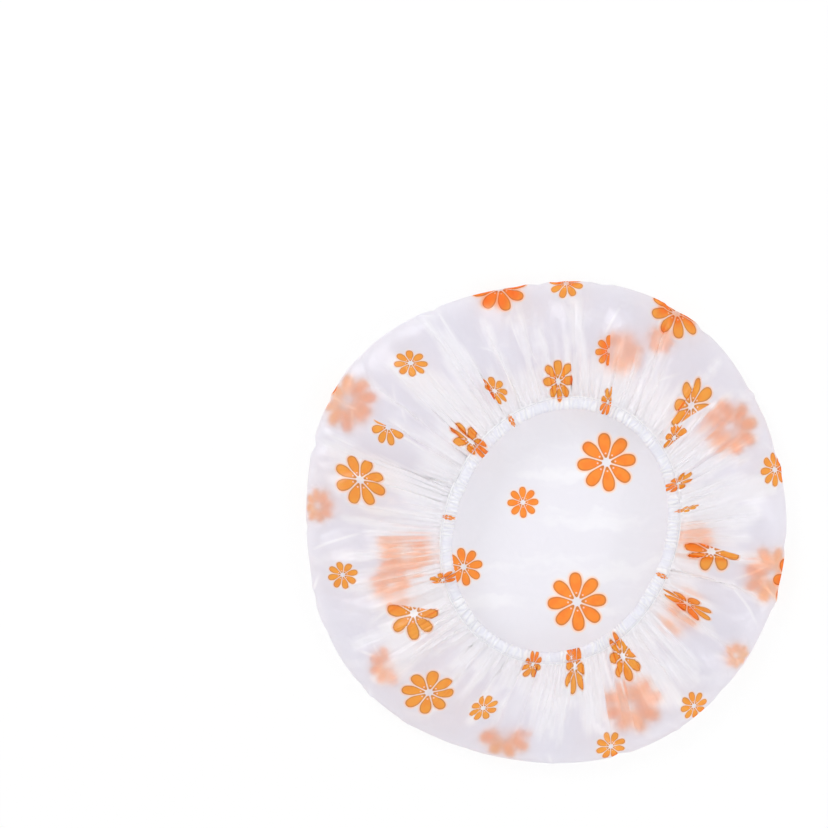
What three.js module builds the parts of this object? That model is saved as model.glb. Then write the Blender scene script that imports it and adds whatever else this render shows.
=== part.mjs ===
// A shower cap lying on its crown with its gathered opening up, in millimetres.
// One disc of film makes the crown, the gathered wall and the hem, which is turned
// under round a loop of flat elastic and closed by a lockstitched seam.
import * as THREE from "three";

// Driving dimensions, in millimetres where a name gives no other unit.
const rimDiameter = 280; // mean width over the fold where the crown turns up into the wall
const rimRoll = 22; // how far in from the rim the crown starts to leave the table
const rimHeight = 9; // height of that fold above the table
const hemHeight = 24; // height of the hem's middle above the table
const openingDiameter = 129; // mean width of the relaxed opening, inside the hem
const openingOval = 5.7; // how far the opening's radius swells along its long way
const openingTurnDegrees = 67; // from +X to the long way of the opening
const openingShift = new THREE.Vector2(7.7, -4.6); // the slack wall lets the opening lie off centre
const filmThickness = 0.1;
const elasticWidth = 3.2;
const elasticThickness = 0.6;
const elasticLap = 12; // length over which the elastic's two ends lie on each other
const elasticRamp = 14; // length over which the upper end climbs onto the lower one
const elasticJoinDegrees = 200; // where round the hem the ends meet
const threadDiameter = 0.4;
const stitchLength = 4;
const stitchArch = 0.25; // how far a stitch bows off the film between its two ends
const seamLand = 1.4; // flat strip outside the elastic, where the two layers are sewn together
const tackLength = 7; // bar tack over the lapped ends
const tackTurns = 5;
const foldDepth = 5; // height that the gathers' ridges grow to beside the hem
const clearance = 0.3; // left between pieces that touch

// The rim isn't quite round: each lobe row adds its own waves to the radius.
const rimLobes = [
  { count: 3, depth: 1.0, turnDegrees: 50 },
  { count: 4, depth: 2.0, turnDegrees: -40 },
  { count: 5, depth: 1.4, turnDegrees: -2 },
];

// Counts of facets, and the turns at which the film's rounded stretches have their corners.
const foldCount = 20; // main gathers round the wall
const facetsPerFold = 2;
const rollDegrees = [0, 45, 90]; // from the flat crown up to the rim
const wallDegrees = [30, 60, 80]; // from the rim in to the hem
const threadSides = 5;
const facetsPerStitch = 2;
const tackFacetsPerTurn = 6;

// Sizes that follow from the ones above.
const angleSteps = foldCount * facetsPerFold;
const crownMiddle = filmThickness / 2; // height of the film's own middle where it lies on the table
const threadRadius = threadDiameter / 2;
const casingHeight = filmThickness + 2 * elasticThickness + threadDiameter + 4 * clearance;
const casingRadius = casingHeight / 2; // reach of the fold along the hem's inner edge
const casingEnd = casingRadius + elasticWidth + clearance;
const casingSlope = casingHeight / 4; // run over which the casing closes down to the seam
const hemWidth = casingEnd + casingSlope + seamLand;
const seamRise = (filmThickness + clearance) / 2; // half the distance between the two sewn layers
const elasticMiddle = casingRadius + elasticWidth / 2; // distance out from the hem's inner edge
const elasticFloor = hemHeight - casingRadius + filmThickness / 2 + clearance;
const lapRise = elasticThickness + clearance;

const toRadians = THREE.MathUtils.degToRad;
const up = new THREE.Vector3(0, 0, 1);

const filmMaterial = new THREE.MeshStandardMaterial({
  color: 0xefe9f0,
  roughness: 0.3,
  metalness: 0,
  transparent: true,
  opacity: 0.6,
});
const elasticMaterial = new THREE.MeshStandardMaterial({ color: 0xf6f6f8, roughness: 0.85, metalness: 0 });
const threadMaterial = new THREE.MeshStandardMaterial({ color: 0xfafafc, roughness: 0.7, metalness: 0 });

function direction(angle) {
  return new THREE.Vector2(Math.cos(angle), Math.sin(angle));
}

function atHeight(place, height) {
  return new THREE.Vector3(place.x, place.y, height);
}

// Outermost point of the film at an angle.
function rimPoint(angle) {
  let radius = rimDiameter / 2;
  for (const lobe of rimLobes) {
    radius += lobe.depth * Math.cos(lobe.count * (angle - toRadians(lobe.turnDegrees)));
  }
  return direction(angle).multiplyScalar(radius);
}

// Point of the hem at an angle, a distance out from its inner edge.
function hemPoint(angle, out) {
  const oval = openingOval * Math.cos(2 * (angle - toRadians(openingTurnDegrees)));
  return direction(angle).multiplyScalar(openingDiameter / 2 + oval + out).add(openingShift);
}

// Length of the hem's line at a distance out from its inner edge.
function hemLength(out) {
  let length = 0;
  for (let step = 0; step < angleSteps; step++) {
    const angle = (2 * Math.PI * step) / angleSteps;
    const nextAngle = (2 * Math.PI * (step + 1)) / angleSteps;
    length += hemPoint(angle, out).distanceTo(hemPoint(nextAngle, out));
  }
  return length;
}

// The hem's cross-section, from the wall's end over the elastic and back under it to the raw
// edge: each point's distance out from the inner edge, and its height from the hem's middle.
function hemSection() {
  const layer = [
    { out: hemWidth, rise: seamRise },
    { out: hemWidth - seamLand, rise: seamRise },
    { out: casingEnd, rise: casingRadius },
    { out: casingRadius, rise: casingRadius },
  ];
  const innerEdge = { out: 0, rise: 0 };
  const turnedUnder = layer.map((point) => ({ out: point.out, rise: -point.rise })).reverse();
  return [...layer, innerEdge, ...turnedUnder];
}

// The middle of the film at one angle, from the flat crown's edge to the raw edge under the hem.
function filmLine(angle) {
  const rim = rimPoint(angle);
  const seam = hemPoint(angle, hemWidth);
  const rimLevel = crownMiddle + rimHeight;
  const seamHeight = hemHeight + seamRise;
  const line = [];
  for (const degrees of rollDegrees) {
    const reach = rim.length() - rimRoll * (1 - Math.sin(toRadians(degrees)));
    const height = crownMiddle + rimHeight * (1 - Math.cos(toRadians(degrees)));
    line.push(atHeight(rim.clone().setLength(reach), height));
  }
  for (const degrees of wallDegrees) {
    const inward = 1 - Math.cos(toRadians(degrees));
    const height = THREE.MathUtils.lerp(rimLevel, seamHeight, Math.sin(toRadians(degrees)));
    const gather = foldDepth * inward * Math.cos(foldCount * angle);
    line.push(atHeight(rim.clone().lerp(seam, inward), height + gather));
  }
  for (const point of hemSection()) {
    line.push(atHeight(hemPoint(angle, point.out), hemHeight + point.rise));
  }
  return line;
}

function meshOf(name, geometry, material) {
  geometry.computeVertexNormals();
  const mesh = new THREE.Mesh(geometry, material);
  mesh.name = name;
  return mesh;
}

function geometryOf(points, triangles) {
  const geometry = new THREE.BufferGeometry();
  geometry.setFromPoints(points);
  geometry.setIndex(triangles);
  return geometry;
}

// The film as a thin closed sheet, half its thickness to each side of its middle.
function makeFilm() {
  const lines = [];
  for (let step = 0; step < angleSteps; step++) {
    lines.push(filmLine((2 * Math.PI * step) / angleSteps));
  }
  const stations = lines[0].length;
  const outerFace = [new THREE.Vector3(0, 0, crownMiddle - filmThickness / 2)];
  const innerFace = [new THREE.Vector3(0, 0, crownMiddle + filmThickness / 2)];
  for (let step = 0; step < angleSteps; step++) {
    const before = lines[(step + angleSteps - 1) % angleSteps];
    const after = lines[(step + 1) % angleSteps];
    for (let station = 0; station < stations; station++) {
      const middle = lines[step][station];
      const around = after[station].clone().sub(before[station]);
      const next = lines[step][Math.min(station + 1, stations - 1)];
      const last = lines[step][Math.max(station - 1, 0)];
      const along = next.clone().sub(last);
      const outward = station === 0 ? up.clone().negate() : around.cross(along).normalize();
      outerFace.push(middle.clone().addScaledVector(outward, filmThickness / 2));
      innerFace.push(middle.clone().addScaledVector(outward, -filmThickness / 2));
    }
  }
  const innerStart = outerFace.length;
  const outerAt = (step, station) => 1 + (step % angleSteps) * stations + station;
  const innerAt = (step, station) => innerStart + outerAt(step, station);
  const triangles = [];
  for (let step = 0; step < angleSteps; step++) {
    triangles.push(0, outerAt(step + 1, 0), outerAt(step, 0));
    triangles.push(innerStart, innerAt(step, 0), innerAt(step + 1, 0));
    for (let station = 0; station < stations - 1; station++) {
      const outerCorners = [
        outerAt(step, station),
        outerAt(step + 1, station),
        outerAt(step + 1, station + 1),
        outerAt(step, station + 1),
      ];
      const [a, b, c, d] = outerCorners;
      const [e, f, g, h] = outerCorners.map((corner) => corner + innerStart);
      triangles.push(a, b, c, a, c, d, e, g, f, e, h, g);
    }
    const edge = stations - 1;
    triangles.push(outerAt(step, edge), outerAt(step + 1, edge), innerAt(step + 1, edge));
    triangles.push(outerAt(step, edge), innerAt(step + 1, edge), innerAt(step, edge));
  }
  return meshOf("cap_film", geometryOf([...outerFace, ...innerFace], triangles), filmMaterial);
}

// Joins a row of equal sections into one solid. Each section's points run right-handed
// about the way the row goes. A closed row ends where it starts, and an open one gets end faces.
function joinSections(sections, closed) {
  const sides = sections[0].length;
  const triangles = [];
  const spans = closed ? sections.length : sections.length - 1;
  for (let span = 0; span < spans; span++) {
    const here = span * sides;
    const there = ((span + 1) % sections.length) * sides;
    for (let side = 0; side < sides; side++) {
      const nextSide = (side + 1) % sides;
      triangles.push(here + side, here + nextSide, there + nextSide);
      triangles.push(here + side, there + nextSide, there + side);
    }
  }
  if (!closed) {
    const end = (sections.length - 1) * sides;
    for (let side = 1; side < sides - 1; side++) {
      triangles.push(0, side + 1, side, end, end + side, end + side + 1);
    }
  }
  return geometryOf(sections.flat(), triangles);
}

// A loop of flat elastic whose last stretch climbs onto its first, so that the ends lap.
function makeElastic() {
  const loopLength = hemLength(elasticMiddle);
  const turnOf = (length) => (2 * Math.PI * length) / loopLength;
  const join = toRadians(elasticJoinDegrees);
  const lapEnd = 2 * Math.PI + turnOf(elasticLap);
  const steps = angleSteps + 4;
  const sections = [];
  for (let step = 0; step <= steps; step++) {
    const turn = (lapEnd * step) / steps;
    const climb = THREE.MathUtils.smoothstep(turn, 2 * Math.PI - turnOf(elasticRamp), 2 * Math.PI);
    const bottom = elasticFloor + climb * lapRise;
    const near = hemPoint(join + turn, elasticMiddle - elasticWidth / 2);
    const far = hemPoint(join + turn, elasticMiddle + elasticWidth / 2);
    const top = bottom + elasticThickness;
    sections.push([atHeight(near, top), atHeight(far, top), atHeight(far, bottom), atHeight(near, bottom)]);
  }
  return meshOf("elastic_band", joinSections(sections, false), elasticMaterial);
}

// One of the seam's two threads, which runs round the hem over or under the sewn strip.
function makeSeamThread(name, side) {
  const seamLine = hemWidth - seamLand / 2;
  const stitches = Math.round(hemLength(seamLine) / stitchLength);
  const steps = stitches * facetsPerStitch;
  const offFilm = seamRise + filmThickness / 2 + clearance + threadRadius;
  const sections = [];
  for (let step = 0; step < steps; step++) {
    const angle = (2 * Math.PI * step) / steps;
    const bow = stitchArch * (0.5 - 0.5 * Math.cos((2 * Math.PI * step) / facetsPerStitch));
    const height = hemHeight + side * (offFilm + bow);
    const section = [];
    for (let corner = 0; corner < threadSides; corner++) {
      const turn = (2 * Math.PI * corner) / threadSides;
      const place = hemPoint(angle, seamLine + threadRadius * Math.sin(turn));
      section.push(atHeight(place, height + threadRadius * Math.cos(turn)));
    }
    sections.push(section);
  }
  return meshOf(name, joinSections(sections, true), threadMaterial);
}

// The bar tack: one thread that zigzags over the elastic's lapped ends.
function makeTack() {
  const loopLength = hemLength(elasticMiddle);
  const height = elasticFloor + lapRise + elasticThickness + clearance + threadRadius;
  const halfWidth = elasticWidth / 2 - threadDiameter;
  const corners = tackTurns * 2;
  const points = [];
  for (let corner = 0; corner <= corners; corner++) {
    const along = (elasticLap - tackLength) / 2 + (tackLength * corner) / corners;
    const angle = toRadians(elasticJoinDegrees) + (2 * Math.PI * along) / loopLength;
    const across = corner % 2 ? halfWidth : -halfWidth;
    points.push(atHeight(hemPoint(angle, elasticMiddle + across), height));
  }
  const section = new THREE.Shape();
  for (let corner = 0; corner <= threadSides; corner++) {
    const place = direction((2 * Math.PI * corner) / threadSides).multiplyScalar(threadRadius);
    if (corner === 0) {
      section.moveTo(place.x, place.y);
    } else {
      section.lineTo(place.x, place.y);
    }
  }
  const geometry = new THREE.ExtrudeGeometry(section, {
    steps: tackTurns * tackFacetsPerTurn,
    extrudePath: new THREE.CatmullRomCurve3(points),
  });
  return meshOf("splice_tack", geometry, threadMaterial);
}

// The middle of the rim's own box, which the part's origin lies under.
function rimMiddle() {
  const box = new THREE.Box2();
  for (let step = 0; step < angleSteps; step++) {
    box.expandByPoint(rimPoint((2 * Math.PI * step) / angleSteps));
  }
  return box.getCenter(new THREE.Vector2());
}

const showerCap = new THREE.Group();
showerCap.add(makeFilm());
showerCap.add(makeElastic());
showerCap.add(makeSeamThread("needle_thread", 1));
showerCap.add(makeSeamThread("bobbin_thread", -1));
showerCap.add(makeTack());
const origin = rimMiddle();
showerCap.position.set(-origin.x, -origin.y, 0);

export default showerCap;
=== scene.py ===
import math
import time

import bmesh
import bpy
import numpy as np
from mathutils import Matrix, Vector


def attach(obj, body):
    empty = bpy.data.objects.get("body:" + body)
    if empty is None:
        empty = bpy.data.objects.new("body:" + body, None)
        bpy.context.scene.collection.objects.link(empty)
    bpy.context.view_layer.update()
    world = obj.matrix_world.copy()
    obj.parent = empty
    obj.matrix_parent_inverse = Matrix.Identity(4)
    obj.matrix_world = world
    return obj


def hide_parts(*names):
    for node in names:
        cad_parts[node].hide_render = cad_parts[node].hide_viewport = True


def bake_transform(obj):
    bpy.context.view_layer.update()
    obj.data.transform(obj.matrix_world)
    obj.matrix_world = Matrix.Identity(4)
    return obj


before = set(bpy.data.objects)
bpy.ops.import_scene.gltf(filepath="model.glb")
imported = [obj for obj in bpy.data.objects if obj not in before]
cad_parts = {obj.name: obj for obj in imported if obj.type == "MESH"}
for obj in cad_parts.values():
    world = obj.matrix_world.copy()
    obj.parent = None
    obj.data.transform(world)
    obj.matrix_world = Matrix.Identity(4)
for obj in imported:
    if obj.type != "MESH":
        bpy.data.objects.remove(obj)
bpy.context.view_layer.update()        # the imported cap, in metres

startTime = time.time()
mm = 0.001
fullTurn = 2 * math.pi
quarterTurn = math.pi / 2

# sizes in millimetres that all the pieces share, as the solids have them
cap = {
    "rimDiameter": 280, "rimRoll": 22, "rimHeight": 9,
    "rimLobes": [(3, 1.0, 50), (4, 2.0, -40), (5, 1.4, -2)],  # waves round, depth, turn in degrees
    "hemHeight": 24, "hemWidth": 7.075, "seamRise": 0.2,
    "openingDiameter": 129, "openingOval": 5.7, "openingTurn": 67, "openingShift": (7.7, -4.6),
    "filmThickness": 0.12,      # the solid's is 0.1
    "columns": 960,            # of the film's grid, round the cap
    "boxSteps": 40,             # round the rim, to find its box
    "lineSteps": 360,           # round the hem, to measure a line along it
}


def reportStage(text):
    print("%5.1f s  %s" % (time.time() - startTime, text))


def linear(*levels):
    # levels of 0 to 255 on the sRGB curve, as linear light
    shares = [level / 255 for level in levels]
    light = [share / 12.92 if share <= 0.04045 else ((share + 0.055) / 1.055) ** 2.4 for share in shares]
    return (*light, 1)


def smooth(value, low, high):
    share = np.clip((value - low) / (high - low), 0, 1)
    return share * share * (3 - 2 * share)


def evenAngles(count):
    return np.arange(count) * fullTurn / count


def turnBetween(start, end):
    # the shorter way round
    return (end - start + math.pi) % fullTurn - math.pi


def ring(angle):
    return np.stack([np.cos(angle), np.sin(angle)], -1)


def lift(place, height):
    # places seen from above, at one height or at a height for each
    return np.column_stack([place, np.broadcast_to(height, len(place))])


def rimRadius(angle):
    radius = np.full_like(angle, cap["rimDiameter"] / 2)
    for count, depth, turn in cap["rimLobes"]:
        radius += depth * np.cos(count * (angle - math.radians(turn)))
    return radius


# the solids' origin lies under the middle of the rim's box
boxAngles = evenAngles(cap["boxSteps"])
boxPoints = ring(boxAngles) * rimRadius(boxAngles)[:, None]
origin = (boxPoints.min(0) + boxPoints.max(0)) / 2


def rimPoint(angle):
    return ring(angle) * rimRadius(angle)[:, None] - origin


def hemPoint(angle, out):
    radius = cap["openingDiameter"] / 2 + out
    radius = radius + cap["openingOval"] * np.cos(2 * (angle - math.radians(cap["openingTurn"])))
    return ring(angle) * radius[:, None] + cap["openingShift"] - origin


def stepsRound(points):
    # distance from each point to the next one round the cap
    return np.linalg.norm(np.roll(points, -1, 0) - points, axis=-1)


def uneven(angle, counts, seed, fall=0.7):
    # a wandering curve round the cap, the same at each run
    draw = np.random.default_rng(seed)
    total = np.zeros_like(angle)
    power = 0
    for count in range(*counts):
        size = count ** -fall
        total += size * np.cos(count * angle + draw.uniform(0, fullTurn))
        power += size * size / 2
    return total / math.sqrt(power)


def addObject(name, data):
    made = bpy.data.objects.new(name, data)
    bpy.context.scene.collection.objects.link(made)
    return made


def meshPiece(name, points, faces=(), edges=()):
    mesh = bpy.data.meshes.new(name)
    mesh.from_pydata((np.asarray(points) * mm).tolist(), edges, faces)
    mesh.update()
    return addObject(name, mesh)


def faceOutwards(piece):
    work = bmesh.new()
    work.from_mesh(piece.data)
    bmesh.ops.recalc_face_normals(work, faces=work.faces)
    work.to_mesh(piece.data)
    work.free()
    piece.data.shade_smooth()


def applyModifiers(piece):
    shown = piece.evaluated_get(bpy.context.evaluated_depsgraph_get())
    finished = bpy.data.meshes.new_from_object(shown)
    piece.modifiers.clear()
    piece.data = finished


def gridFaces(columns, rows):
    # the columns close round, the rows don't
    faces = []
    for column in range(columns):
        here = column * rows
        there = (column + 1) % columns * rows
        for row in range(rows - 1):
            faces.append((here + row, there + row, there + row + 1, here + row + 1))
    return faces


def faceCorners(mesh):
    corners = np.zeros(len(mesh.loops), np.int64)
    mesh.loops.foreach_get("vertex_index", corners)
    firsts = np.zeros(len(mesh.polygons), np.int64)
    mesh.polygons.foreach_get("loop_start", firsts)
    counts = np.zeros(len(mesh.polygons), np.int64)
    mesh.polygons.foreach_get("loop_total", counts)
    return corners, firsts, counts


def layMap(mesh, name, uv):
    mesh.uv_layers.new(name=name).data.foreach_set("uv", uv.astype(np.float32).ravel())


def layValues(mesh, name, domain, values):
    mesh.attributes.new(name, "FLOAT", domain).data.foreach_set("value", values.astype(np.float32))


# film

film = {
    "crownStart": 104,          # radius where the fine grid begins
    "crownRings": 3, "rollRings": 9, "wallRings": 36,
    "innerRings": 13, "innerGap": 4, "innerEnd": 8,     # of the coarser grid inside it
    "coarseStep": 6,            # fine columns for each coarse one
    "floorGap": 0.15,
    "bakeMargin": 1.02,
    "crownWaves": {"count": 9, "length": (35, 90), "size": 0.22, "lift": 0.5, "seed": 21},
    "slack": (0.10, 0.80),      # share of the disc's spare length kept at the rim and at the hem
    "mainFolds": [              # angle in degrees, depth, where it starts between rim and hem
        (8, 0.45, 0.25), (36, 0.75, 0.05), (50, 0.5, 0.30), (68, 0.8, 0.20), (84, 0.4, 0.35),
        (98, 0.55, 0.05), (121, 0.75, 0.00), (134, 0.45, 0.30), (150, 1.1, 0.10), (172, 0.5, 0.20),
        (190, 0.75, 0.05), (205, 0.65, 0.15), (222, 0.5, 0.30), (243, 0.7, 0.10), (262, 0.55, 0.20),
        (277, 0.45, 0.25), (298, 0.55, 0.30), (318, 0.5, 0.15), (333, 0.75, 0.10), (350, 0.5, 0.30),
    ],
    "pleats": [                 # count, start, and the seeds of their waves
        (46, 0.50, (2, 12, 22, 32, 42)), (96, 0.70, (3, 13, 23, 33, 43)),
        (168, 0.86, (4, 14, 24, 34, 44)),
    ],
    "gathers": {
        "growth": 0.35, "handOver": 0.28,   # shares of the wall over which folds grow and split
        "givenUp": 0.86,        # share of a fold's depth that its pleats take over
        "pastHem": 9,           # where the finest pleats would split
        "ragged": 0.1, "lean": 0.4, "lift": 0.9, "hemLift": 0.35,
        "mainSharpness": 0.97, "mainWander": 0.7, "mainSeeds": (5, 6),  # of wander and lean
        "pleatSharpness": 0.9, "pleatWander": 1.3, "pleatDrift": 1.45,
        "pleatDepth": (0.45, 0.15, 2),      # spread, least and most
        "waves": {              # fewest round the cap, and the first count left out
            "start": (3, 20), "drift": (2, 14), "wander": (2, 9), "depth": (4, 30), "lean": (3, 24),
        },
    },
    "relax": {
        "steps": 220, "stretch": 0.25, "shear": 0.12, "bendRound": 0.03, "bendInward": 0.06,
        "sink": 0.004, "heldRings": 2, "leastLength": 1e-6,
    },
    "creases": {
        "seen": [               # the plainest ones: ends in millimetres right and up, and height
            (-135, -17, -103, -5, 1.5), (-103, -5, -62, -22, 1.5), (-100, -42, -60, -38, 1.3),
            (-129, -28, -133, -42, 1.0), (-133, -42, -128, -64, 1.0), (92, -28, 121, -62, 1.3),
            (62, -78, 70, -90, 0.9), (49, 66, 77, 86, 1.2), (41, 64, 61, 90, 1.0),
            (-65, 127, -45, 92, 1.3), (-23, 120, -12, 92, 1.1), (-89, 53, -60, 34, 1.2),
            (-95, 58, -62, 46, 1.1), (0, -78, 2, -123, 1.2), (8, -76, 6, -114, 0.9),
            (104, 30, 131, 12, 1.0), (30, 100, 44, 126, 1.0), (-92, -78, -112, -70, 0.9),
        ],
        "count": 120,           # and others all round
        "length": (14, 46), "height": (0.4, 1.2), "halfWidth": (2.5, 6), "seed": 17,
        "swing": 0.55,          # in radians off the way from rim to hem
        "fullRun": 0.3,         # share of the half length before it fades
        "crownFade": (2, 7), "hemFade": 8,  # in rings
        # the white line along a crease is stress whitening and painted highlight
        "line": (0.3, 1.2, 0.2),    # height where its white line starts, height more for all, least
    },
    # the white painted on bent ridges and valleys, beside the hem and near the rim, is stress whitening and
    # painted highlight
    "whitening": {
        "bend": (0.05, 0.32),   # bend per millimetre at which a ridge starts to whiten and is white
        "spread": 2, "spreadOver": 3,       # columns to each side, and what their sum is divided by
        "valleys": 0.5, "besideHem": 0.82, "rim": 0.4, "rimRings": 5,
    },
}


def crownHeight(place):
    # the crown lifts off the table in soft waves
    waves = film["crownWaves"]
    draw = np.random.default_rng(waves["seed"])
    total = np.zeros(place.shape[:-1])
    for _ in range(waves["count"]):
        way = draw.uniform(0, fullTurn)
        length = draw.uniform(*waves["length"])
        along = place[..., :2] @ ring(way)
        total += np.cos(along * fullTurn / length + draw.uniform(0, fullTurn))
    return film["floorGap"] + waves["lift"] * np.clip(0.5 + waves["size"] * total, 0, 1)


def filmBase(angle):
    # smooth shape of crown edge, rim roll and wall, before it is gathered
    rim = rimPoint(angle)
    seam = hemPoint(angle, cap["hemWidth"])
    reach = np.linalg.norm(rim, axis=1)
    outward = rim / reach[:, None]
    rows = []
    for share in np.linspace(0, 1, film["crownRings"] + 1)[:-1]:
        radius = film["crownStart"] + (reach - cap["rimRoll"] - film["crownStart"]) * share
        rows.append(lift(outward * radius[:, None], 0))
    for turn in np.linspace(0, quarterTurn, film["rollRings"] + 1)[:-1]:
        radius = reach - cap["rimRoll"] * (1 - math.sin(turn))
        rows.append(lift(outward * radius[:, None], cap["rimHeight"] * (1 - math.cos(turn))))
    climb = cap["hemHeight"] + cap["seamRise"] - cap["rimHeight"]
    for turn in np.linspace(0, quarterTurn, film["wallRings"]):
        inward = 1 - math.cos(turn)
        rows.append(lift(rim * (1 - inward) + seam * inward, cap["rimHeight"] + climb * math.sin(turn)))
    base = np.stack(rows, 1)
    base[..., 2] += crownHeight(base) * (1 - smooth(base[..., 2], 0, cap["rimHeight"]))
    return base


def triangleWave(phase, sharpness):
    return np.arcsin(sharpness * np.cos(phase)) / math.asin(sharpness)


def foldSlope(fullness):
    # how steep a wave is that holds so many times the length it covers
    steepest, slopeSteps, turnSteps = 6, 200, 400
    slopes = np.linspace(0, steepest, slopeSteps)
    turn = np.linspace(0, fullTurn, turnSteps)
    lengths = [np.mean(np.sqrt(1 + (slope * np.cos(turn)) ** 2)) for slope in slopes]
    return np.interp(fullness, lengths, slopes)


def foldOffsets(angle, share, steep, radius):
    # height and sideways sway of every gather, coarse folds splitting into fine pleats
    gathers = film["gathers"]
    around = angle[:, None]
    fromMiddle = share - 0.5

    def wave(name, seed):
        return uneven(around, gathers["waves"][name], seed)

    def grown(start, growth, end):
        split = gathers["givenUp"] * smooth(share, end, end + gathers["handOver"])
        return smooth(share, start, start + growth) * (1 - split)

    ends = [start + gathers["ragged"] * wave("start", seeds[0]) for _, start, seeds in film["pleats"]]
    ends.append(np.full_like(around, gathers["pastHem"]))
    folds = np.array(film["mainFolds"])
    places = np.radians(folds[:, 0])
    depths, starts = (np.interp(around, places, values, period=fullTurn) for values in folds.T[1:])
    turns = np.append(places, places[0] + fullTurn)
    phase = fullTurn * np.interp((around - places[0]) % fullTurn + places[0], turns, range(len(turns)))
    wanderSeed, leanSeed = gathers["mainSeeds"]
    phase = phase + gathers["mainWander"] * wave("wander", wanderSeed) * fromMiddle
    size = steep * radius / len(folds) * quarterTurn * depths * grown(starts, gathers["growth"], ends[0])
    height = size * triangleWave(phase, gathers["mainSharpness"])
    sway = size * gathers["lean"] * wave("lean", leanSeed) * np.sin(phase)

    spread, least, most = gathers["pleatDepth"]
    for level, (count, _, seeds) in enumerate(film["pleats"]):
        _, drift, wander, depth, lean = map(wave, gathers["waves"], seeds)
        drift = gathers["pleatDrift"] * drift + gathers["pleatWander"] * wander * fromMiddle
        phase = count * around + drift
        depths = np.clip(1 + spread * depth, least, most)
        size = steep * radius / count * depths * grown(ends[level], gathers["handOver"], ends[level + 1])
        height += size * triangleWave(phase, gathers["pleatSharpness"])
        sway += size * gathers["lean"] * lean * np.sin(phase)
    return height, sway, phase[:, -1]


def pullPairs(points, near, far, turn, rest, strength):
    # moves pairs of points, the far ones so many columns on, towards their cut distance
    apart = np.roll(points, -turn, 0)[:, far] - points[:, near]
    length = np.maximum(np.linalg.norm(apart, axis=2), film["relax"]["leastLength"])
    move = apart * (strength * (1 - rest / length))[:, :, None]
    points[:, near] += move
    points[:, far] -= np.roll(move, turn, 0)


def bentRound(points):
    # from each point to the middle between its neighbours round the cap
    return (np.roll(points, -1, 0) + np.roll(points, 1, 0)) / 2 - points


def relaxFilm(points, around, along, slanting):
    # lets the film find folds that keep its cut lengths, with its crown and seam held
    relax = film["relax"]
    rings = relax["heldRings"]
    held = points.copy()
    whole, outer, inner = slice(None), slice(None, -1), slice(1, None)
    pairs = [
        (whole, whole, 1, around, relax["stretch"]), (outer, inner, 0, along, relax["stretch"]),
        (outer, inner, 1, slanting, relax["shear"]), (inner, outer, 1, slanting, relax["shear"]),
    ]
    for _ in range(relax["steps"]):
        for pair in pairs:
            pullPairs(points, *pair)
        points += relax["bendRound"] * bentRound(points)
        points[:, 1:-1] += relax["bendInward"] * ((points[:, 2:] + points[:, :-2]) / 2 - points[:, 1:-1])
        points[:, :, 2] = np.maximum(points[:, :, 2] - relax["sink"], film["floorGap"])
        points[:, :rings] = held[:, :rings]
        points[:, -1] = held[:, -1]


def sideways(points):
    return np.roll(points, -1, 0) - np.roll(points, 1, 0)


def unit(ways):
    return ways / np.linalg.norm(ways, axis=-1, keepdims=True)


def surfaceNormal(points):
    return unit(np.cross(sideways(points), np.gradient(points, axis=1)))


def nearestSpot(shape, place):
    # column and ring of the wall's point nearest to a place seen from above
    apart = np.linalg.norm(shape["points"][:, shape["wallStart"]:, :2] - place, axis=2)
    column, ringOfWall = np.unravel_index(apart.argmin(), apart.shape)
    return column, shape["wallStart"] + ringOfWall


def findCreases(shape):
    # straight sharp ridges of film that has been folded away in a packet, as places in the flat sheet
    settings = film["creases"]
    angle, length = shape["angle"], shape["length"]
    creases = []
    for fromRight, fromUp, toRight, toUp, height in settings["seen"]:
        first = nearestSpot(shape, (fromRight, fromUp))
        last = nearestSpot(shape, (toRight, toUp))
        turn = turnBetween(angle[first[0]], angle[last[0]])
        across = turn * shape["ringRadius"][(first[1] + last[1]) // 2]
        onward = length[last] - length[first]
        creases.append({
            "angle": angle[first[0]] + turn / 2, "length": length[first] + onward / 2,
            "way": math.atan2(across, onward), "reach": math.hypot(across, onward) / 2,
            "halfWidth": settings["halfWidth"][1], "height": height,
        })
    draw = np.random.default_rng(settings["seed"])
    nearest = length[:, film["crownRings"]].mean()
    farthest = length[:, -film["rollRings"]].mean()
    for _ in range(settings["count"]):
        creases.append({
            "angle": draw.uniform(0, fullTurn), "length": draw.uniform(nearest, farthest),
            "way": draw.normal(0, settings["swing"]), "reach": draw.uniform(*settings["length"]) / 2,
            "halfWidth": draw.uniform(*settings["halfWidth"]),
            "height": draw.uniform(*settings["height"]) * draw.choice((-1, 1)),
        })
    return creases


def besideCrease(crease, angle, length, ringRadius):
    # millimetres to the side of a crease, and the share of its half length along it
    across = turnBetween(crease["angle"], angle) * ringRadius
    onward = length - crease["length"]
    side = across * math.cos(crease["way"]) - onward * math.sin(crease["way"])
    run = onward * math.cos(crease["way"]) + across * math.sin(crease["way"])
    return side, np.abs(run) / crease["reach"]


def creaseHeight(shape):
    settings = film["creases"]
    total = np.zeros_like(shape["length"])
    for crease in shape["creases"]:
        side, run = besideCrease(crease, shape["angle"][:, None], shape["length"], shape["ringRadius"])
        tent = np.clip(1 - np.abs(side) / crease["halfWidth"], 0, 1)
        total += crease["height"] * tent * (1 - smooth(run, settings["fullRun"], 1))
    count = total.shape[1]
    rings = np.arange(count)
    besideHem = smooth(rings, count - settings["hemFade"], count - 1)
    return total * smooth(rings, *settings["crownFade"]) * (1 - besideHem)


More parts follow.
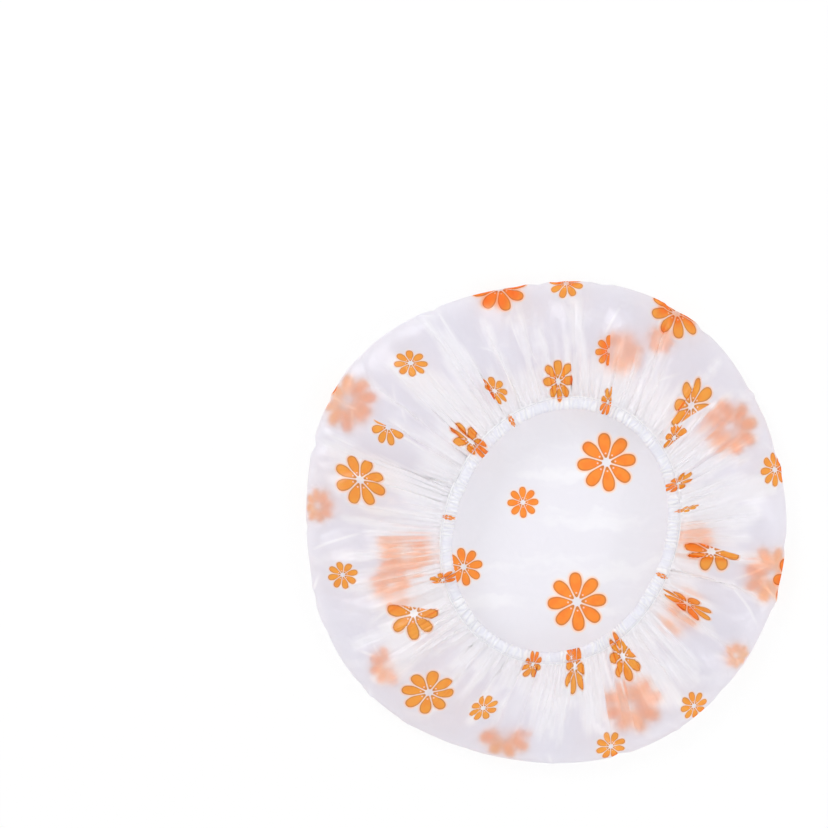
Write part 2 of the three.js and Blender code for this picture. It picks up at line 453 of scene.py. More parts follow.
def ridgeShare(points):
    # how sharply the film bends over its ridges, as 0 to 1, softened sideways, and its whiter edges: where
    # white is painted on, as stress whitening and painted highlight
    settings = film["whitening"]
    space = np.linalg.norm(sideways(points), axis=2) / 2
    bend = -(bentRound(points) * surfaceNormal(points)).sum(2) / space ** 2
    whiteAndHighlight = smooth(bend, *settings["bend"]) + settings["valleys"] * smooth(-bend, *settings["bend"])
    reach = settings["spread"]
    soft = sum(np.roll(whiteAndHighlight, step, 0) for step in range(-reach, reach + 1)) / settings["spreadOver"]
    fromRim = np.arange(points.shape[1]) - points.shape[1] + film["wallRings"]
    besideHem = smooth(fromRim / (film["wallRings"] - 1), settings["besideHem"], 1)
    rim = settings["rim"] * np.exp(-(fromRim / settings["rimRings"]) ** 2)
    return np.clip(np.maximum(soft, besideHem + rim), 0, 1)


def gatherFilm():
    angle = evenAngles(cap["columns"])
    base = filmBase(angle)
    wallStart = base.shape[1] - film["wallRings"]
    steps = np.linalg.norm(np.diff(base, axis=1), axis=2)
    length = film["crownStart"] + np.pad(np.cumsum(steps, axis=1), ((0, 0), (1, 0)))
    flat = length[:, :, None] * ring(angle)[:, None, :]
    share = np.pad(np.linspace(0, 1, film["wallRings"]), (wallStart, 0))

    # spare length round each ring, which the gathers have to take up
    around = stepsRound(base)
    slackRim, slackHem = film["slack"]
    restAround = around + (stepsRound(flat) - around) * (slackRim + (slackHem - slackRim) * share ** 2)
    steep = foldSlope(restAround.mean(0) / around.mean(0))
    height, sway, hemPhase = foldOffsets(angle, share, steep, around.sum(0) / fullTurn)
    gathers = film["gathers"]
    points = base + gathers["lift"] * surfaceNormal(base) * height[:, :, None]
    points += unit(sideways(base)) * sway[:, :, None]
    points[:, :, 2] = np.maximum(points[:, :, 2], film["floorGap"])
    rings = film["relax"]["heldRings"]
    points[:, :rings] = base[:, :rings]
    points[:, -1] = base[:, -1]
    points[:, -1, 2] += gathers["hemLift"] * height[:, -1]
    restAlong = np.linalg.norm(np.diff(flat, axis=1), axis=2)
    relaxFilm(points, restAround, restAlong, np.hypot((restAround[:, 1:] + restAround[:, :-1]) / 2, steps))

    shape = {
        "angle": angle, "points": points, "length": length, "ringRadius": restAround.sum(0) / fullTurn,
        "wallStart": wallStart, "hemPhase": hemPhase,
    }
    shape["creases"] = findCreases(shape)
    points += surfaceNormal(points) * creaseHeight(shape)[:, :, None]
    points[:, :, 2] = np.maximum(points[:, :, 2], film["floorGap"])
    shape["ridgeWhiteAndHighlight"] = ridgeShare(points)
    return shape


# print

daisies = {
    # millimetres to the right and up in the photograph, width in millimetres, turn in degrees, and for
    # some how far a facet spreads it round the wall, and where a tuck hides the rest of it: the way
    # towards the hidden side in degrees and its distance in radii
    "crown": [
        (35, 34, 34, 6), (18, -46, 34, 4), (-13, 11, 18, 2), (-47, -26, 22, 10),
        (50, -105, 33, 20), (106, 53, 33, 15), (-114, 69, 33, 5), (-80, -17, 32, 30, 1, 90, 0.5),
        (-23, -122, 30, 12, 1, 90, 0.15), (-131, 9, 20, 8), (130, -31, 33, 25), (110, -77, 16, 0),
        (-90, -83, 22, 18, 1, 20, 0.25), (78, -52, 22, 35), (86, -11, 20, 22), (-88, -36, 24, 40),
        (42, 97, 24, 10), (66, 104, 18, 30),
    ],
    "wall": [
        (81, 66, 32, 30, 1, -63, 0.35), (74, 119, 31, 0), (11, 136, 20, 20), (-27, 137, 33, 12),
        (-77, 90, 18, 10), (-30, 75, 18, 10), (-105, 24, 31, 15), (-115, -29, 18, 17),
        (-67, -96, 29, 38), (-36, -105, 17, 20), (36, -127, 18, 28), (84, -104, 17, 15),
        (42, -75, 30, 20, 1.1, 45, 0.62), (79, -45, 33, 5, 0.5), (93, -16, 32, 30, 1.3, 68, 0.2),
        (130, 30, 20, 0), (6, 79, 25, 40, 1.3), (34, 69, 18, 15, 1.05, 0, 0.5),
        (35, 98, 18, 35, 1, -10, 0.1), (-43, 46, 30, 25), (-89, 54, 20, 5, 1, 63, 0.05),
        (-74, -51, 30, 0, 1.5, 90, 0.24), (-59, -32, 18, 30, 1.2, -95, 0.35), (15, -80, 33, 0, 0.75),
        (-8, -78, 17, 15, 1.4), (72, 49, 18, 25, 1.2, -60, 0.25), (71, 22, 20, 40), (79, 8, 15, 12, 0.45),
    ],
    "hem": [(-55, 3, 8, 10), (-18, 55, 8, 30), (63, -29, 8, 20), (12, -71, 16, 5)],
    "whole": (1, 0, 9),     # spread and tuck of a daisy that shows all its petals
}


def daisyCentres(shape):
    centres = []
    for kind in ("crown", "wall", "hem"):
        for daisy in daisies[kind]:
            right, up, width, turn, *more = daisy
            spread, cutTurn, cutAt = (*more, *daisies["whole"][len(more):])
            centre = {"radius": width / 2, "turn": math.radians(turn), "onCrown": kind == "crown",
                      "spread": spread, "cutTurn": math.radians(cutTurn), "cutAt": cutAt}
            if kind == "crown":
                centre["flat"] = np.array([right, up])
            else:
                spot = nearestSpot(shape, (right, up))
                centre["angle"] = shape["angle"][spot[0]]
                centre["length"] = shape["length"][spot]
            if kind == "hem":
                centre["length"] += cap["hemWidth"] / 2
            centres.append(centre)
    return centres


def layPrint(mesh, angle, length, ringRadius, centres):
    # each face's map holds its place in its nearest daisy, in that daisy's radii
    flat = length[:, None] * ring(angle)
    placed = []
    hidden = []
    for centre in centres:
        if centre["onCrown"]:
            place = flat - centre["flat"]
            level = 0
        else:
            apart = turnBetween(centre["angle"], angle) * ringRadius
            place = np.stack([apart / centre["spread"], length - centre["length"]], 1)
            level = centre["angle"] + quarterTurn
        place = place / centre["radius"]
        turn = centre["turn"] - level
        placed.append(np.stack([place @ ring(turn), place @ ring(turn + quarterTurn)], 1))
        hidden.append(place @ ring(centre["cutTurn"] - level) - centre["cutAt"])
    placed = np.stack(placed)
    hidden = np.stack(hidden)
    corners, firsts, counts = faceCorners(mesh)
    away = np.linalg.norm(placed, axis=2)
    nearest = np.add.reduceat(away[:, corners], firsts, axis=1).argmin(0)
    nearest = np.repeat(nearest, counts)
    layMap(mesh, "print", placed[nearest, corners])
    layValues(mesh, "tuck", "CORNER", hidden[nearest, corners])
    reach = 2 * length.max() * film["bakeMargin"]
    layMap(mesh, "OFBake", (flat / reach + 0.5)[corners])


def layFolds(mesh, angle, length, ringRadius, creases):
    # each face's map holds its place beside its nearest ridge, and places far off where there is none
    start, more, least = film["creases"]["line"]
    farOff = 9.0
    corners, firsts, counts = faceCorners(mesh)
    nearest = np.full(len(firsts), np.inf)
    uv = np.full((len(corners), 2), farOff)
    for crease in creases:
        if crease["height"] > 0:
            side, run = besideCrease(crease, angle, length, ringRadius)
            away = np.abs(side) + crease["reach"] * np.maximum(run - 1, 0)
            away = np.add.reduceat(away[corners], firsts) / counts
            closer = away < nearest
            nearest = np.where(closer, away, nearest)
            taken = np.repeat(closer, counts)
            run = 1 - (1 - run) * np.clip((crease["height"] - start) / more, least, 1)
            uv[taken] = np.stack([side, run], 1)[corners][taken]
    layMap(mesh, "fold", uv)


def gridSpots(points, angle, length, ringRadius):
    # a spot is a place, and its angle, length and ring's radius in the flat sheet
    return np.column_stack([points.reshape(-1, 3), np.repeat(angle, length.shape[1]), length.reshape(-1),
                            np.broadcast_to(ringRadius, length.shape).reshape(-1)])


def finishFilm(name, spots, faces, ridgeWhiteAndHighlight, centres, creases, material):
    piece = meshPiece(name, spots[:, :3], faces)
    faceOutwards(piece)
    layValues(piece.data, "ridgeWhiteAndHighlight", "POINT", ridgeWhiteAndHighlight)
    layPrint(piece.data, *spots[:, 3:].T, centres)
    layFolds(piece.data, *spots[:, 3:].T, creases)
    piece.data.materials.append(material)
    thick = piece.modifiers.new("thickness", "SOLIDIFY")
    thick.thickness = cap["filmThickness"] * mm
    thick.offset = 0
    applyModifiers(piece)
    return piece


def makeFilm(shape, centres, material):
    columns, rows = shape["length"].shape
    faces = gridFaces(columns, rows)
    blocks = [gridSpots(shape["points"], shape["angle"], shape["length"], shape["ringRadius"])]
    # the flat crown inside the fine grid needs fewer points
    step = film["coarseStep"]
    coarse = columns // step
    coarseAngle = evenAngles(coarse)
    inner = np.linspace(film["crownStart"] - film["innerGap"], film["innerEnd"], film["innerRings"])
    for radius in inner:
        place = ring(coarseAngle) * radius
        length = np.full(coarse, radius)
        blocks.append(np.column_stack([place, crownHeight(place), coarseAngle, length, length]))
    middle = np.zeros((1, 2))
    blocks.append(np.column_stack([middle, crownHeight(middle), np.zeros((1, 3))]))
    first = columns * rows
    for column in range(coarse):
        after = (column + 1) % coarse
        outer = [(column * step + part) % columns * rows for part in range(step + 1)]
        faces.append((first + column, first + after, *reversed(outer)))
        for level in range(len(inner) - 1):
            here = first + level * coarse
            there = here + coarse
            faces.append((there + column, there + after, here + after, here + column))
    pole = first + coarse * len(inner)
    for column in range(coarse):
        faces.append((pole, pole - coarse + (column + 1) % coarse, pole - coarse + column))
    spots = np.concatenate(blocks)
    ridgeWhiteAndHighlight = np.pad(shape["ridgeWhiteAndHighlight"].reshape(-1), (0, len(spots) - first))
    return finishFilm("capFilm", spots, faces, ridgeWhiteAndHighlight, centres, shape["creases"], material)


# hem

hem = {
    "section": [        # distance out from the inner edge, height from the hem's middle, ripple
        (cap["hemWidth"], cap["seamRise"], 0.0),
        (6.9, 0.3, 0.3), (6.4, 0.15, 0.12), (5.8, 0.5, 0.4), (5.2, 1.25, 0.8), (4.4, 1.55, 0.9),
        (3.4, 1.6, 0.8), (2.4, 1.6, 0.9), (1.5, 1.5, 0.8), (0.7, 1.15, 0.6), (0.2, 0.6, 0.45),
        (0.0, 0.0, 0.35), (0.2, -0.6, 0.4), (0.8, -1.2, 0.5), (2.0, -1.5, 0.6), (3.6, -1.55, 0.6),
        (5.0, -1.3, 0.6), (5.8, -0.5, 0.3), (6.4, -0.15, 0.1), (7.3, -0.3, 0.5),
    ],
    "turnedUnder": 18,          # width of film that goes round the elastic
    "middle": 3.2,              # out from the inner edge, which the ripples swell away from
    "ripple": 0.95,
    "depth": (0.45, 0.3, 1.8),  # spread, least and most of the ripples' depth
    "depthWaves": (5, 60), "depthFall": 0.3,    # how fast waves get smaller with their count
    "drift": 1.7, "driftWaves": (20, 120), "driftFall": 0.1,
    "driftRows": 4,             # rows of the section over which the ripples wander
    # where the groove beside the seam is painted light over its shade
    "whiteSeam": (5.2, 6.2),
    "seed": 31,
}


def makeHem(shape, centres, material):
    angle = shape["angle"]
    sections = hem["section"]
    spread, least, most = hem["depth"]
    depth = 1 + spread * uneven(angle, hem["depthWaves"], hem["seed"], hem["depthFall"])
    depth = np.clip(depth, least, most)
    rows = [shape["points"][:, -1]]
    lengths = [shape["length"][:, -1]]
    crestHighlight = [shape["ridgeWhiteAndHighlight"][:, -1]]
    for index in range(1, len(sections)):
        out, rise, ripple = sections[index]
        before = sections[index - 1]
        after = sections[min(index + 1, len(sections) - 1)]
        outward = unit(np.array([before[1] - after[1], after[0] - before[0]]))
        if outward @ np.array([out - hem["middle"], rise]) < 0:
            outward = -outward
        group, share = divmod(index / hem["driftRows"], 1)
        drift = 0
        for step, part in enumerate((1 - share, share)):
            seed = hem["seed"] + int(group) + step
            drift = drift + part * uneven(angle, hem["driftWaves"], seed, hem["driftFall"])
        wave = 0.5 + 0.5 * np.cos(shape["hemPhase"] + hem["drift"] * drift)
        swell = hem["ripple"] * ripple * depth * wave
        place = hemPoint(angle, out + swell * outward[0])
        rows.append(lift(place, cap["hemHeight"] + rise + swell * outward[1]))
        lengths.append(lengths[-1] + math.hypot(out - before[0], rise - before[1]))
        # ripple crests are painted white as painted highlight, and the seam's groove is painted light
        crestHighlight.append(np.clip(wave * depth + smooth(out, *hem["whiteSeam"]), 0, 1))
    points, lengths, crestHighlight = (np.stack(values, 1) for values in (rows, lengths, crestHighlight))
    spots = gridSpots(points, angle, lengths, shape["ringRadius"][-1])
    faces = gridFaces(*lengths.shape)
    return finishFilm("hemCasing", spots, faces, crestHighlight.reshape(-1), centres, [], material)


# elastic

elastic = {
    "width": 3.2, "thickness": 0.6,
    "middle": 3.05,         # out from the hem's inner edge
    "floor": 22.9,
    "lap": 12, "lapRise": 0.9, "ramp": 14, "joinDegrees": 200,
    "cores": 5,             # rubber cores under the knit
    "coreSwell": 0.14, "coreSteps": 6,
    "steps": 720,
}


def hemLength(out):
    return stepsRound(hemPoint(evenAngles(cap["lineSteps"]), out)).sum()


def elasticTurn(length):
    return fullTurn * length / hemLength(elastic["middle"])


def makeElastic(material):
    start = math.radians(elastic["joinDegrees"])
    turns = np.linspace(0, fullTurn + elasticTurn(elastic["lap"]), elastic["steps"])
    climb = smooth(turns, fullTurn - elasticTurn(elastic["ramp"]), fullTurn)
    half = elastic["width"] / 2
    across = np.linspace(-half, half, elastic["cores"] * elastic["coreSteps"] + 1)
    swell = elastic["coreSwell"] * np.abs(np.sin((across / half + 1) * elastic["cores"] * quarterTurn))
    sides = np.concatenate([across, across[::-1]])
    rises = np.concatenate([elastic["thickness"] - elastic["coreSwell"] + swell,
                            elastic["coreSwell"] - swell[::-1]])
    points = []
    for out, rise in zip(sides, rises):
        place = hemPoint(start + turns, elastic["middle"] + out)
        points.append(lift(place, elastic["floor"] + climb * elastic["lapRise"] + rise))
    steps = len(turns)
    faces = gridFaces(len(sides), steps)
    for end in (0, steps - 1):
        faces.append(tuple(range(end, len(sides) * steps, steps)))
    piece = meshPiece("elasticLoop", np.concatenate(points), faces)
    faceOutwards(piece)
    along = np.tile(turns * hemLength(elastic["middle"]) / fullTurn, len(sides))
    corners, _, _ = faceCorners(piece.data)
    layMap(piece.data, "knit", np.stack([along, np.repeat(sides, steps)], 1)[corners])
    piece.data.materials.append(material)
    return piece


# node trees

def newTree(name, kind, inputs, outputs):
    tree = bpy.data.node_groups.new(name, kind)
    for way, sockets in (("INPUT", inputs), ("OUTPUT", outputs)):
        for socket, value in sockets.items():
            tree.interface.new_socket(socket, in_out=way, socket_type="NodeSocket" + value)
    given = tree.nodes.new("NodeGroupInput").outputs
    return tree, given, tree.nodes.new("NodeGroupOutput").inputs


def feed(tree, socket, value):
    # a node stands for its first output
    if isinstance(value, bpy.types.Node):
        value = value.outputs[0]
    if isinstance(value, bpy.types.NodeSocket):
        tree.links.new(value, socket)
    else:
        socket.default_value = value


def feedAll(tree, node, inputs):
    for socket, value in inputs.items():
        feed(tree, node.inputs[socket], value)


def addNode(tree, kind, inputs=None, **settings):
    made = tree.nodes.new(kind)
    for name, value in settings.items():
        setattr(made, name, value)
    feedAll(tree, made, inputs or {})
    return made


def calc(tree, operation, *values):
    return addNode(tree, "ShaderNodeMath", dict(enumerate(values)), operation=operation).outputs[0]


def times(tree, first, second):
    return calc(tree, "MULTIPLY", first, second)


# sewing

sewing = {
    "threadDiameter": 0.4, "sides": 6,
    "stitchLength": 4, "stitchGap": 0.35, "stitchArch": 0.3, "archSteps": 6,
    "leastSize": (0.9, 0.9, 0.8), "mostSize": (1.04, 1.1, 1.2),     # along, across and up
    "seamLine": 6.375,      # out from the hem's inner edge
    "seamSteps": 4,         # points of the seam's line for each stitch
    "offFilm": 0.42,        # from the hem's middle to the thread's own middle
    "tackLength": 7, "tackTurns": 5, "tackSteps": 16, "tackRise": 0.3, "tackSharpness": 0.98,
    "seed": 4,
}


def markRun(tree, path, name, value):
    return addNode(tree, "GeometryNodeStoreNamedAttribute", {"Geometry": path, "Name": name, "Value": value})


def threadSurface(tree, path):
    # a round thread along a path, which keeps its run along and around for the twist
    run = addNode(tree, "GeometryNodeSplineParameter").outputs
    circle = addNode(tree, "GeometryNodeCurvePrimitiveCircle",
                     {"Resolution": sewing["sides"], "Radius": sewing["threadDiameter"] / 2 * mm})
    return addNode(tree, "GeometryNodeCurveToMesh", {
        "Curve": markRun(tree, path, "along", run["Length"]),
        "Profile Curve": markRun(tree, circle, "around", run["Factor"]), "Fill Caps": True,
    })


def dressThread(tree, result, thread, material):
    real = addNode(tree, "GeometryNodeRealizeInstances", {"Geometry": thread})
    soft = addNode(tree, "GeometryNodeSetShadeSmooth", {"Geometry": real})
    feed(tree, result["Geometry"], addNode(tree, "GeometryNodeSetMaterial",
                                           {"Geometry": soft, "Material": material}))


def stitchTree():
    tree, given, result = newTree("seamStitches", "GeometryNodeTree", {
        "Geometry": "Geometry", "Stitches": "Int", "Arch": "Float", "Thread": "Material",
    }, {"Geometry": "Geometry"})
    line = addNode(tree, "GeometryNodeMeshToCurve", {"Mesh": given["Geometry"]})
    spots = addNode(tree, "GeometryNodeResampleCurve", {"Curve": line, "Count": given["Stitches"]})
    facing = addNode(tree, "FunctionNodeAxesToRotation",
                     {"Primary Axis": (0, 0, 1), "Secondary Axis": addNode(tree, "GeometryNodeInputTangent")},
                     primary_axis="Z", secondary_axis="X")
    # the curve rises half as high as its middle handle
    half = (sewing["stitchLength"] - sewing["stitchGap"]) / 2 * mm
    top = addNode(tree, "ShaderNodeCombineXYZ", {"Z": times(tree, given["Arch"], 2)})
    arch = addNode(tree, "GeometryNodeCurveQuadraticBezier", {
        "Resolution": sewing["archSteps"], "Start": (-half, 0, 0), "Middle": top, "End": (half, 0, 0),
    })
    size = addNode(tree, "FunctionNodeRandomValue", {
        "Min": sewing["leastSize"], "Max": sewing["mostSize"], "Seed": sewing["seed"],
    }, data_type="FLOAT_VECTOR")
    sewn = addNode(tree, "GeometryNodeInstanceOnPoints", {
        "Points": spots, "Instance": threadSurface(tree, arch), "Rotation": facing, "Scale": size,
    })
    dressThread(tree, result, sewn, given["Thread"])
    return tree


def tackTree():
    tree, given, result = newTree("barTack", "GeometryNodeTree",
                                  {"Geometry": "Geometry", "Thread": "Material"}, {"Geometry": "Geometry"})
    line = addNode(tree, "GeometryNodeMeshToCurve", {"Mesh": given["Geometry"]})
    dressThread(tree, result, threadSurface(tree, line), given["Thread"])
    return tree


def growFromLine(name, points, closed, tree, values):
    edges = [(index, index + 1) for index in range(len(points) - 1)]
    if closed:
        edges.append((len(points) - 1, 0))
    piece = meshPiece(name, points, edges=edges)
    grown = piece.modifiers.new("sewing", "NODES")
    grown.node_group = tree
    for item in tree.interface.items_tree:
        if item.in_out == "INPUT" and item.name in values:
            grown[item.identifier] = values[item.name]
    applyModifiers(piece)
    return piece


def makeStitches(name, side, tree, material):
    count = round(hemLength(sewing["seamLine"]) / sewing["stitchLength"])
    line = hemPoint(evenAngles(count * sewing["seamSteps"]), sewing["seamLine"])
    height = cap["hemHeight"] + side * sewing["offFilm"]
    values = {"Stitches": count, "Arch": side * sewing["stitchArch"] * mm, "Thread": material}
    return growFromLine(name, lift(line, height), True, tree, values)


def makeTack(tree, material):
    height = elastic["floor"] + elastic["lapRise"] + elastic["thickness"] + sewing["tackRise"]
    half = elastic["width"] / 2 - sewing["threadDiameter"]
    turns = sewing["tackTurns"]
    steps = np.linspace(0, turns, turns * sewing["tackSteps"] + 1)
    along = (elastic["lap"] - sewing["tackLength"]) / 2 + sewing["tackLength"] * steps / turns
    angle = math.radians(elastic["joinDegrees"]) + elasticTurn(along)
    swing = triangleWave(steps * fullTurn, sewing["tackSharpness"])
    line = hemPoint(angle, elastic["middle"] - half * swing)
    return growFromLine("barTack", lift(line, height), False, tree, {"Thread": material})


# finishes

petal = {                           # in radii of the daisy
    "count": 8,
    "widens": (0.15, 0.68),         # from the daisy's middle
    "halfWidth": (0.08, 0.222),     # where it starts to widen and where it is widest
    "middle": 0.57, "halfLength": 0.43,
    "edge": (1.0, 0.95),            # shares of the petal's own oval, as for its line and halo
    "line": (0.66, 0.86), "root": (0.32, 0.2), "lineStrength": 0.72,
    "dotAt": 0.3, "dot": (0.036, 0.02),
    "halo": (1.36, 1.1), "haloStart": (0.13, 0.2),
    "tuckEdge": (0.02, -0.02),
    "mottleNoise": (170, 2), "mottle": (0.42, 0.62), "mottleStrength": 0.45,    # scale and detail
    # deeper ink painted where the film lies on the table, as painted shade
    "onTable": (0.004, 0.001), "onTableStrength": 0.4,      # metres above it
}
crumple = {
    "bendNoise": (60, 3), "bend": 0.02,
    "cellScale": 70, "cellEdge": (0.18, 0.0),
    "grainNoise": (900, 3),
    "cloudNoise": (45, 4), "cloud": (0.3, 0.7),
    # streaks of painted sheen
    "streakTurn": (0, 0, 0.5), "streakScale": (18, 75, 40), "streakNoise": (1, 3),
    "streak": (0.54, 0.72), "streakStrength": 0.35,
    # the white line beside a crease, stress whitening and painted highlight
    "foldLine": (1.5, 0.2),         # millimetres beside a crease
    "foldEnd": (1.0, 0.4),          # shares of its half length
}
finishes = {
    "printedFilm": {"colour": linear(233, 231, 239), "through": 0.8, "crease": 0.5,
                    "roughness": (0.62, 0.82)},
    "gatheredFilm": {"colour": linear(240, 240, 249), "through": 0.45, "crease": 0.3,
                     "roughness": (0.45, 0.6)},
    # the white of stress whitening and painted highlight on ridges and creases
    "ridgeWhiteAndHighlight": linear(254, 254, 255),
    # the deep ink serves both the ink's own uneven patches and painted shade where the film lies on the table
    "ink": linear(255, 133, 14), "inkDeep": linear(252, 106, 8), "inkEdge": linear(178, 90, 24),
    "underprint": linear(255, 216, 192),
    "filmGrain": 0.04, "filmIor": 1.28, "coat": 0.5, "coatRoughness": 0.2,
    "filmBump": (0.35, 0.6 * mm),       # strength and distance, as for the yarns
    "edgeScatter": (0.2, 0.8), "edgeScatterMost": 0.8,      # facing where it starts and ends
    # the yarns' two colours are painted shade and light that follow the strands' relief
    "knittedElastic": {                 # colours of low and high strands, and the share of the second
        "colours": (linear(247, 247, 250), linear(226, 227, 234)), "share": 0.3,
        "bump": (0.6, 0.2 * mm), "roughness": (0.15, 0.75), "sheen": 0.3,
        "loop": 0.55, "row": 0.32,      # in millimetres
    },
    "spunThread": {
        "colours": (linear(228, 228, 235), linear(250, 250, 252)), "share": 0.25,
        "bump": (0.7, 0.1 * mm), "roughness": (-0.15, 0.7), "sheen": 0.25,
        "twist": 1.2, "plies": 2,       # length of a turn in millimetres
    },
}


def fade(tree, value, low, high, start=0.0, end=1.0):
    made = addNode(tree, "ShaderNodeMapRange",
                   {"Value": value, "From Min": low, "From Max": high, "To Min": start, "To Max": end},
                   interpolation_type="SMOOTHSTEP")
    return made.outputs["Result"]


def distance(tree, across, up):
    return calc(tree, "SQRT", calc(tree, "MULTIPLY_ADD", across, across, times(tree, up, up)))


def noise(tree, place, scale, detail):
    return addNode(tree, "ShaderNodeTexNoise", {"Vector": place, "Scale": scale, "Detail": detail})


def attribute(tree, name):
    return addNode(tree, "ShaderNodeAttribute", attribute_name=name).outputs["Fac"]


def mapped(tree, name):
    return addNode(tree, "ShaderNodeUVMap", uv_map=name)


def split(tree, place):
    return addNode(tree, "ShaderNodeSeparateXYZ", {"Vector": place}).outputs


def mixColours(tree, share, first, second):
    # the factor's, the two colours' and the result's sockets go by number
    return addNode(tree, "ShaderNodeMix", {0: share, 6: first, 7: second}, data_type="RGBA").outputs[2]


def daisyGroup():
    # one eight-petalled daisy, a radius of 1 wide, with a darker line inside each petal's edge
    tree, given, result = newTree("daisyPrint", "ShaderNodeTree", {
        "Place": "Vector", "Tuck": "Float", "Spot": "Vector", "Film": "Color", "Ink": "Color",
        "Deep Ink": "Color", "Edge": "Color", "Underprint": "Color",
    }, {"Colour": "Color"})
    across, up, _ = split(tree, given["Place"])
    reach = distance(tree, across, up)
    halfPetal = math.pi / petal["count"]
    petalTurn = calc(tree, "WRAP", calc(tree, "ARCTAN2", up, across), halfPetal, -halfPetal)
    along = times(tree, reach, calc(tree, "COSINE", petalTurn))
    side = times(tree, reach, calc(tree, "SINE", petalTurn))
    sidewise = calc(tree, "DIVIDE", side, fade(tree, along, *petal["widens"], *petal["halfWidth"]))
    lengthwise = calc(tree, "DIVIDE", calc(tree, "SUBTRACT", along, petal["middle"]), petal["halfLength"])
    oval = distance(tree, sidewise, times(tree, lengthwise, lengthwise))
    line = calc(tree, "MAXIMUM", fade(tree, oval, *petal["line"]), fade(tree, along, *petal["root"]))
    fromDot = distance(tree, calc(tree, "SUBTRACT", along, petal["dotAt"]), side)
    clear = calc(tree, "SUBTRACT", 1.0, fade(tree, fromDot, *petal["dot"]))
    halo = times(tree, fade(tree, oval, *petal["halo"]), fade(tree, reach, *petal["haloStart"]))
    shown = fade(tree, given["Tuck"], *petal["tuckEdge"])
    # the ink is uneven in itself, and is painted deeper where the film lies on the table, as painted shade
    patch = fade(tree, noise(tree, given["Spot"], *petal["mottleNoise"]), *petal["mottle"])
    height = split(tree, given["Spot"])["Z"]
    low = fade(tree, height, *petal["onTable"], 0.0, petal["onTableStrength"])
    depth = calc(tree, "MULTIPLY_ADD", patch, petal["mottleStrength"], low)
    fill = mixColours(tree, depth, given["Ink"], given["Deep Ink"])
    ink = mixColours(tree, times(tree, line, petal["lineStrength"]), fill, given["Edge"])
    inked = times(tree, times(tree, fade(tree, oval, *petal["edge"]), clear), shown)
    ground = mixColours(tree, times(tree, halo, shown), given["Film"], given["Underprint"])
    feed(tree, result["Colour"], mixColours(tree, inked, ground, ink))
    return tree


def crumpleGroup():
    # handled film: soft cells and grain as a height, clouds of shine, streaks of painted sheen, and white
    # crease lines of stress whitening and painted highlight
    tree, given, result = newTree("filmCrumple", "ShaderNodeTree", {
        "Spot": "Vector", "Fold": "Vector", "Crease": "Float", "Grain": "Float",
        "Least Roughness": "Float", "Most Roughness": "Float",
    }, {"Height": "Float", "Roughness": "Float", "Smear": "Float"})
    spot = given["Spot"]
    bend = noise(tree, spot, *crumple["bendNoise"]).outputs["Color"]
    moved = addNode(tree, "ShaderNodeVectorMath", {0: bend, 1: (crumple["bend"],) * 3}, operation="MULTIPLY")
    bent = addNode(tree, "ShaderNodeVectorMath", {0: spot, 1: moved}, operation="ADD")
    cells = addNode(tree, "ShaderNodeTexVoronoi", {"Vector": bent, "Scale": crumple["cellScale"]},
                    feature="DISTANCE_TO_EDGE")
    crease = fade(tree, cells, *crumple["cellEdge"])
    grain = times(tree, noise(tree, spot, *crumple["grainNoise"]), given["Grain"])
    feed(tree, result["Height"], calc(tree, "MULTIPLY_ADD", crease, given["Crease"], grain))
    drawn = addNode(tree, "ShaderNodeMapping", {"Vector": bent, "Rotation": crumple["streakTurn"],
                                                "Scale": crumple["streakScale"]})
    # streaks of painted sheen
    streak = fade(tree, noise(tree, drawn, *crumple["streakNoise"]), *crumple["streak"])
    # a white line along each crease, stress whitening and painted highlight
    beside = split(tree, given["Fold"])
    line = fade(tree, calc(tree, "ABSOLUTE", beside["X"]), *crumple["foldLine"])
    folded = times(tree, line, fade(tree, beside["Y"], *crumple["foldEnd"]))
    sheenStreaks = times(tree, streak, crumple["streakStrength"])
    feed(tree, result["Smear"], calc(tree, "MAXIMUM", sheenStreaks, folded))
    shine = fade(tree, noise(tree, spot, *crumple["cloudNoise"]), *crumple["cloud"])
    spread = calc(tree, "SUBTRACT", given["Most Roughness"], given["Least Roughness"])
    feed(tree, result["Roughness"], calc(tree, "MULTIPLY_ADD", shine, spread, given["Least Roughness"]))
    return tree


def newMaterial(name):
    material = bpy.data.materials.new(name)
    material.use_nodes = True
    return material, material.node_tree, material.node_tree.nodes["Principled BSDF"]


def bump(tree, height, strength, depth):
    return addNode(tree, "ShaderNodeBump", {"Height": height, "Strength": strength, "Distance": depth})


def mixShaders(tree, share, first, second):
    return addNode(tree, "ShaderNodeMixShader", {0: share, 1: first, 2: second})


